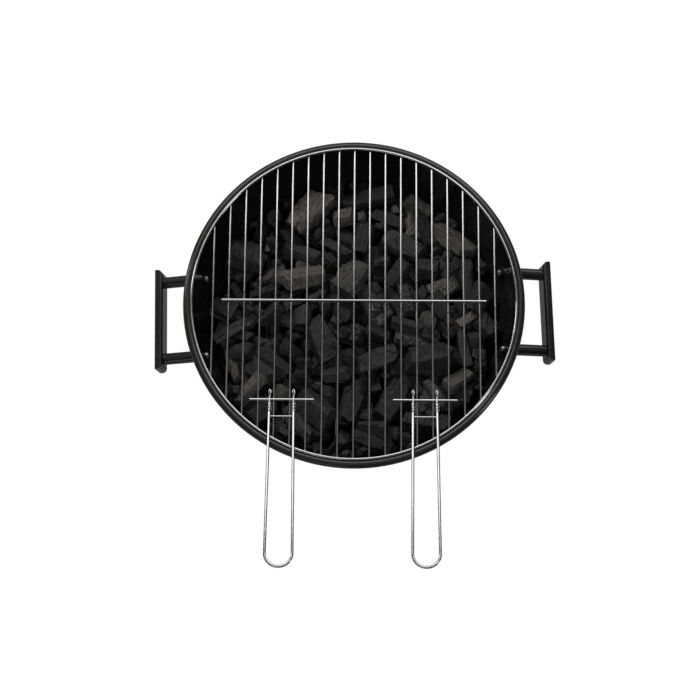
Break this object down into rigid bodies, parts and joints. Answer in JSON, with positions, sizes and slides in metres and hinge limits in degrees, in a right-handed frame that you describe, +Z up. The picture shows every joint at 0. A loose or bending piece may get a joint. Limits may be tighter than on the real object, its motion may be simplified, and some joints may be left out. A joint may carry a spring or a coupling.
{
  "type": "portable tabletop charcoal grill",
  "caption": "Round enamelled bowl grill on short legs, with side handles, a lift-off chromed wire cooking grid with folding wire handles, a charcoal grate with charcoal, and an air damper.",
  "frame": {"origin": "on the table, at the centre of the whole object's footprint box; the bowl's axis stands 54.2 mm behind it", "axes": "+Z up; -Y the front, where the wire handles point; +X to the right of the person who cooks"},
  "size_m": [0.4314, 0.4684, 0.2197],
  "materials": {
    "black_enamel": "glossy baked enamel",
    "bare_steel": "rolled, a little dull",
    "zinc_fasteners": "bright zinc plate",
    "leg_chrome": "chrome plated tube",
    "foot_plastic": "moulded, fine grain",
    "phenolic": "moulded phenolic, semi-gloss",
    "grate_wire": "plated wire, heat dulled",
    "charcoal": "lump charcoal, matt black with a faint sheen",
    "grid_chrome": "bright chrome plated wire"
  },
  "bodies": {
    "stand": {"bowl": "black_enamel", "damper_rivet": "zinc_fasteners", "damper_washer": "zinc_fasteners", "leg_back": "leg_chrome", "leg_front_left": "leg_chrome", "leg_front_right": "leg_chrome", "foot_back": "foot_plastic", "foot_front_left": "foot_plastic", "foot_front_right": "foot_plastic", "leg_plugs": "zinc_fasteners", "leg_saddles": "bare_steel", "leg_bolts": "zinc_fasteners", "left_grip": "phenolic", "right_grip": "phenolic", "left_grip_posts": "phenolic", "right_grip_posts": "phenolic", "grip_inserts": "zinc_fasteners", "grip_washers": "phenolic", "grip_screws": "zinc_fasteners"},
    "damper": {"air_damper": "bare_steel"},
    "charcoal_grate": {"grate_ring": "grate_wire", "grate_bars": "grate_wire", "grate_cross_bars": "grate_wire", "charcoal_bed": "charcoal"},
    "cooking_grid": {"grid_ring": "grid_chrome", "grid_bars": "grid_chrome", "grid_cross_bar": "grid_chrome", "left_handle_bar": "grid_chrome", "right_handle_bar": "grid_chrome"},
    "left_handle": {"left_wire_handle": "grid_chrome", "left_tie_bar": "grid_chrome", "left_hinge_loops": "grid_chrome"},
    "right_handle": {"right_wire_handle": "grid_chrome", "right_tie_bar": "grid_chrome", "right_hinge_loops": "grid_chrome"}
  },
  "joints": [
    {"name": "grid_lift", "type": "slide", "parent": "stand", "child": "cooking_grid", "axis": [0, 0, 1], "range_m": [0, 0.2]},
    {"name": "left_handle_fold", "type": "hinge", "parent": "cooking_grid", "child": "left_handle", "pos_m": [-0.07425, -0.0538, 0.19431], "axis": [-1, 0, 0], "range_deg": [0, 170]},
    {"name": "right_handle_fold", "type": "hinge", "parent": "cooking_grid", "child": "right_handle", "pos_m": [0.07425, -0.0538, 0.19431], "axis": [-1, 0, 0], "range_deg": [0, 170]},
    {"name": "grate_lift", "type": "slide", "parent": "stand", "child": "charcoal_grate", "axis": [0, 0, 1], "range_m": [0, 0.03]},
    {"name": "damper_turn", "type": "hinge", "parent": "stand", "child": "damper", "pos_m": [0, 0.0542, 0.06], "axis": [0, 0, 1], "range_deg": [0, 60]}
  ]
}
